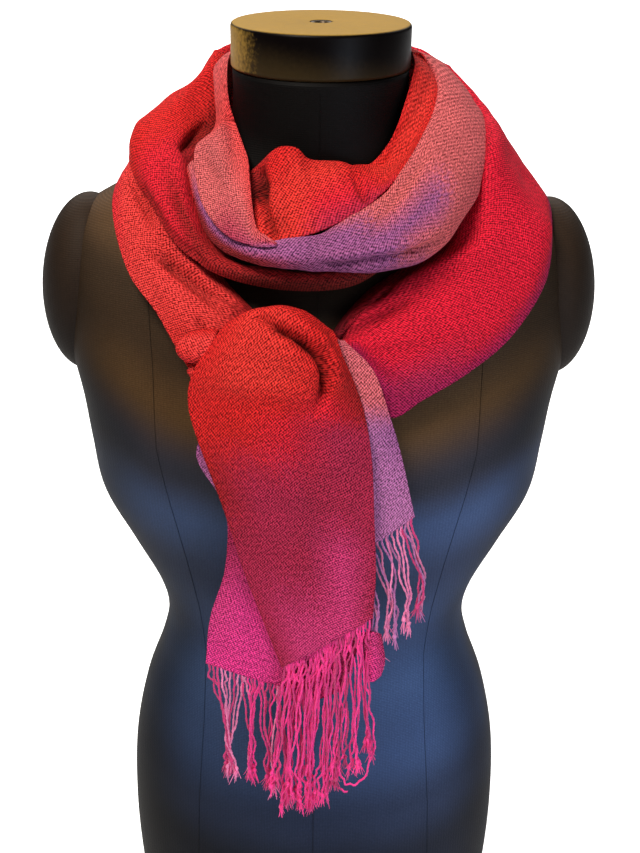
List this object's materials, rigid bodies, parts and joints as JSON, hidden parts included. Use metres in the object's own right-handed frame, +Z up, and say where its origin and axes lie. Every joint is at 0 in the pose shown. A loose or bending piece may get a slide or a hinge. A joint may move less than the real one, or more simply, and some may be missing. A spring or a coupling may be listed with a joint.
{
  "type": "scarf on dress form",
  "caption": "Fringed twill scarf wound round the neck of a limbless dress form and knotted in front, one end hanging over the other.",
  "frame": {"origin": "middle of the dress form's flat base", "axes": "+Z up the neck, -Y towards the front where the knot hangs, +X to the right of someone facing the knot"},
  "size_m": [0.3778, 0.2589, 0.76],
  "materials": {
    "form_cover": "fine black-brown jersey with a cool sheen",
    "cap_lacquer": "black lacquer",
    "twill_red": "soft twill, red",
    "twill_crimson": "soft twill, crimson with a magenta border",
    "twill_coral": "soft twill, coral shading to lilac",
    "twill_lilac": "soft twill, coral pink shading to lilac",
    "twill_magenta": "soft twill, magenta pink",
    "fringe_pink": "twisted fringe, pink"
  },
  "bodies": {
    "root": {"form_torso": "form_cover", "form_neck_cap": "cap_lacquer", "form_armhole_plate_left": "form_cover", "form_armhole_plate_right": "form_cover", "cowl_bowl": "twill_red", "cowl_roll": "twill_coral", "cowl_left_fold": "twill_coral", "nape_loop": "twill_red", "nape_wrap": "twill_crimson", "left_shoulder_fold": "twill_red", "left_front_fall": "twill_red", "right_shoulder_drape": "twill_crimson", "front_tail": "twill_red", "right_tail_strip": "twill_lilac", "left_under_tail": "twill_magenta", "front_tail_fringe": "fringe_pink", "right_strip_fringe": "fringe_pink", "left_under_tail_fringe": "fringe_pink"}
  },
  "joints": []
}
